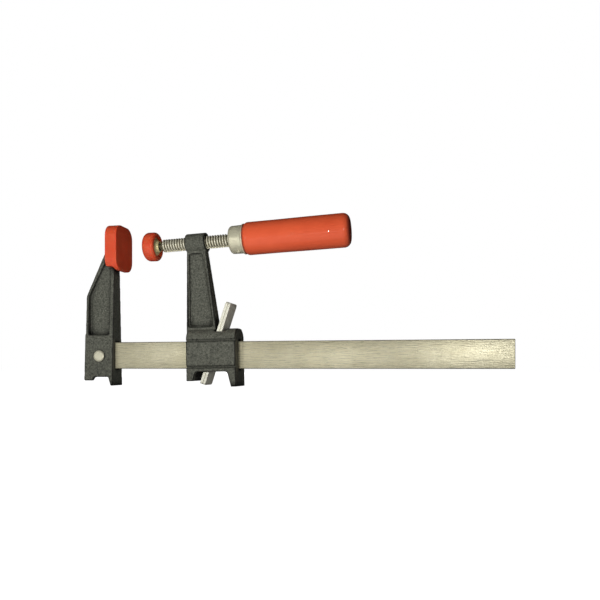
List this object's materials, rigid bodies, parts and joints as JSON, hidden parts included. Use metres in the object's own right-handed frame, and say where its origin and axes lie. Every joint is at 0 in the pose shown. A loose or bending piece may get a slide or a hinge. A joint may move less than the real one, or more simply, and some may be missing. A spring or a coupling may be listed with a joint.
{
  "type": "f clamp",
  "caption": "Clutch-style bar clamp: a fixed jaw riveted to a flat steel bar and a sliding jaw whose screw, turned by a wooden handle, presses work with a swivel pad.",
  "frame": {"origin": "middle of the bounding box's underside, on the surface that both feet stand on", "axes": "+X along the bar from the fixed jaw to the bar's free end, +Z from the bar to the screw, +Y across the jaws"},
  "size_m": [0.3948, 0.0332, 0.1551],
  "materials": {
    "bar_steel": "bright drawn, fine lengthwise lines",
    "jaw_paint": "black textured paint on a sand casting",
    "rivet_steel": "satin",
    "pad_red": "soft satin",
    "clutch_steel": "bright stamped, sheared edges",
    "spring_steel": "drawn wire",
    "screw_steel": "bright zinc on rolled thread",
    "ferrule_steel": "satin zinc",
    "handle_red": "glossy lacquer",
    "shoe_zinc": "yellow zinc",
    "joint_steel": "turned"
  },
  "bodies": {
    "rail": {"rail": "bar_steel", "fixed_jaw": "jaw_paint", "jaw_rivet": "rivet_steel", "fixed_pad_cap": "pad_red"},
    "sliding_arm": {"sliding_jaw": "jaw_paint", "clutch_spring_near": "spring_steel", "clutch_spring_far": "spring_steel"},
    "clutch": {"clutch_plate_1": "clutch_steel", "clutch_plate_2": "clutch_steel"},
    "swivel_ball": {"swivel_ball": "joint_steel"},
    "spindle": {"spindle": "screw_steel", "ferrule": "ferrule_steel", "handle": "handle_red", "handle_pin": "rivet_steel"},
    "swivel_ring": {"swivel_ring": "joint_steel"},
    "swivel_pad": {"swivel_shoe": "shoe_zinc", "swivel_cap": "pad_red"}
  },
  "joints": [
    {"name": "arm_slide", "type": "slide", "parent": "rail", "child": "sliding_arm", "axis": [1, 0, 0], "range_m": [-0.009, 0.24]},
    {"name": "clutch_release", "type": "hinge", "parent": "sliding_arm", "child": "clutch", "pos_m": [-0.06255, 0, 0.0478], "axis": [0, 1, 0], "range_deg": [-8, 0], "stiffness_Nm_per_rad": 0.3, "springref_deg": 11.46, "deforming": ["clutch_spring_near", "clutch_spring_far"]},
    {"name": "screw_feed", "type": "slide", "parent": "sliding_arm", "child": "swivel_ball", "axis": [0.999, 0, 0.0436], "range_m": [-0.011, 0.0225]},
    {"name": "screw_turn", "type": "hinge", "parent": "swivel_ball", "child": "spindle", "pos_m": [-0.12845, 0, 0.13194], "axis": [0.999, 0, 0.0436], "range_deg": [-1560, 3190]},
    {"name": "swivel_nod", "type": "hinge", "parent": "swivel_ball", "child": "swivel_ring", "pos_m": [-0.12845, 0, 0.13194], "axis": [0, 1, 0], "range_deg": [-8, 8]},
    {"name": "swivel_sway", "type": "hinge", "parent": "swivel_ring", "child": "swivel_pad", "pos_m": [-0.12845, 0, 0.13194], "axis": [0, 0, 1], "range_deg": [-8, 8]}
  ],
  "couplings": [
    {"joint": "screw_turn", "follows": "screw_feed", "rad_per_m": 2473.7}
  ]
}
